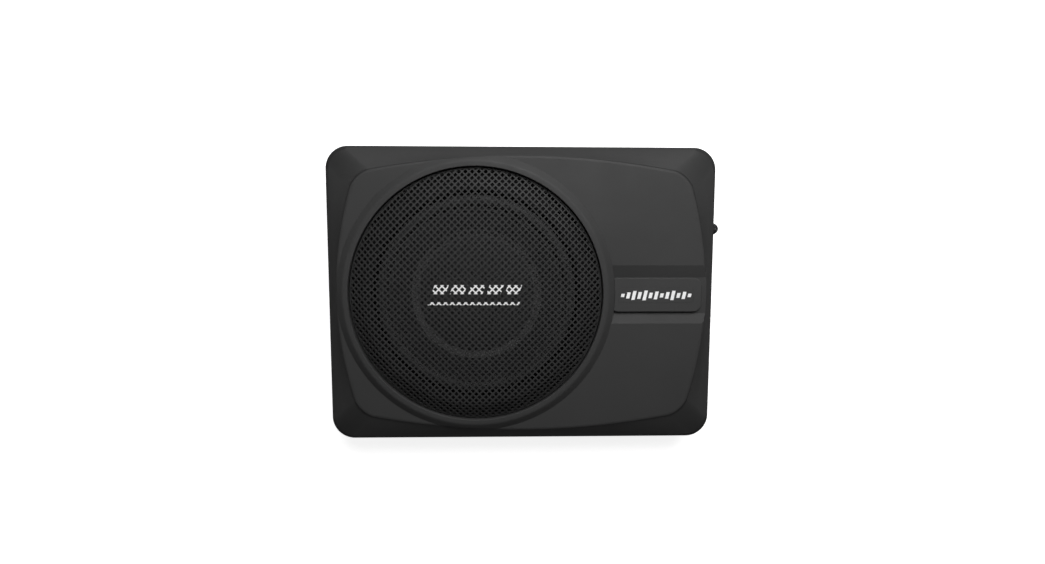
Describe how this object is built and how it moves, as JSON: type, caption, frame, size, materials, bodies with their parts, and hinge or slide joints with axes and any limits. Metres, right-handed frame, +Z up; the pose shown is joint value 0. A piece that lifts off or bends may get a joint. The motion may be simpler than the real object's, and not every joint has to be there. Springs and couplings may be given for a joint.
{
  "type": "powered car subwoofer",
  "caption": "Low under-seat powered subwoofer: shallow woofer under a domed round grille, a badge recess beside it, and an end panel with level knob, dials and sockets.",
  "frame": {"origin": "centre of the bounding rectangle, on the plane that the four feet rest on", "axes": "+Z up out of the grille, +X along the length towards the end with the control panel, +Y across the width"},
  "size_m": [0.3914, 0.29, 0.0722],
  "materials": {
    "shell_plastic": "satin fine-textured black moulding",
    "badge_plastic": "satin black moulding",
    "inlay_gloss": "gloss black with a printed silver motif",
    "grille_steel": "black powder-coated perforated steel",
    "black_plastic": "matt black",
    "knob_rubber": "soft-touch black",
    "dial_plastic": "matt dark grey",
    "socket_white": "matt natural nylon",
    "rubber": "matt",
    "foam": "closed-cell foam",
    "cone_paper": "pressed paper, matt black",
    "spider_cloth": "resin-dipped cloth",
    "black_steel": "black powder coat",
    "panel_black": "black anodised, white printed scales",
    "zinc_steel": "zinc plated",
    "ferrite": "dark grey ferrite",
    "copper": "bare copper",
    "nickel": "nickel plated brass",
    "aluminium": "satin",
    "circuit_board": "green solder mask",
    "red_wire": "satin insulation",
    "black_wire": "satin insulation",
    "fuse_amber": "translucent amber-red",
    "lamp_lens": "blue lens"
  },
  "bodies": {
    "enclosure": {"top_shell": "shell_plastic", "base_plate": "black_steel", "base_gasket": "foam", "badge_plate": "badge_plastic", "badge_inlay": "inlay_gloss", "grille_mesh": "grille_steel", "grille_hoop": "black_plastic", "driver_gasket": "foam", "basket": "black_steel", "trim_ring": "rubber", "surround": "rubber", "spider": "spider_cloth", "top_plate": "zinc_steel", "magnet": "ferrite", "back_plate": "zinc_steel", "terminal_block": "black_plastic", "tinsel_lead_1": "copper", "tinsel_lead_2": "copper", "speaker_wire_1": "red_wire", "speaker_wire_2": "black_wire", "amp_board": "circuit_board", "heat_spreader": "aluminium", "power_transistor_1": "black_plastic", "power_transistor_2": "black_plastic", "capacitor": "black_plastic", "inductor": "copper", "transformer": "ferrite", "control_panel": "panel_black", "level_pot": "zinc_steel", "crossover_pot": "zinc_steel", "bass_pot": "zinc_steel", "phase_switch": "zinc_steel", "phono_sockets": "nickel", "high_level_socket": "socket_white", "power_socket": "black_plastic", "fuse_holder": "black_plastic", "blade_fuse": "fuse_amber", "power_lamp": "lamp_lens", "base_screw_1": "black_steel", "foot_1": "rubber", "driver_screw_1": "black_steel", "base_screw_2": "black_steel", "foot_2": "rubber", "driver_screw_2": "black_steel", "base_screw_3": "black_steel", "foot_3": "rubber", "driver_screw_3": "black_steel", "base_screw_4": "black_steel", "foot_4": "rubber", "driver_screw_4": "black_steel", "panel_screw_1": "black_steel", "panel_screw_2": "black_steel"},
    "cone_assembly": {"cone": "cone_paper", "dust_cap": "cone_paper", "coil_former": "aluminium", "voice_coil": "copper"},
    "level_control": {"level_knob": "knob_rubber"},
    "crossover_control": {"crossover_dial": "dial_plastic"},
    "bass_control": {"bass_dial": "dial_plastic"},
    "phase_control": {"phase_slider": "black_plastic"}
  },
  "joints": [
    {"name": "cone_travel", "type": "slide", "parent": "enclosure", "child": "cone_assembly", "axis": [0, 0, 1], "range_m": [-0.005, 0.005], "stiffness_N_per_m": 4500, "deforming": ["surround", "spider", "tinsel_lead_1", "tinsel_lead_2"]},
    {"name": "level_turn", "type": "hinge", "parent": "enclosure", "child": "level_control", "pos_m": [0.1813, 0.066, 0.025], "axis": [-1, 0, 0], "range_deg": [-150, 150]},
    {"name": "crossover_turn", "type": "hinge", "parent": "enclosure", "child": "crossover_control", "pos_m": [0.1813, 0.044, 0.025], "axis": [-1, 0, 0], "range_deg": [-140, 140]},
    {"name": "bass_turn", "type": "hinge", "parent": "enclosure", "child": "bass_control", "pos_m": [0.1813, 0.024, 0.025], "axis": [-1, 0, 0], "range_deg": [-140, 140]},
    {"name": "phase_slide", "type": "slide", "parent": "enclosure", "child": "phase_control", "axis": [0, 1, 0], "range_m": [0, 0.003]}
  ]
}
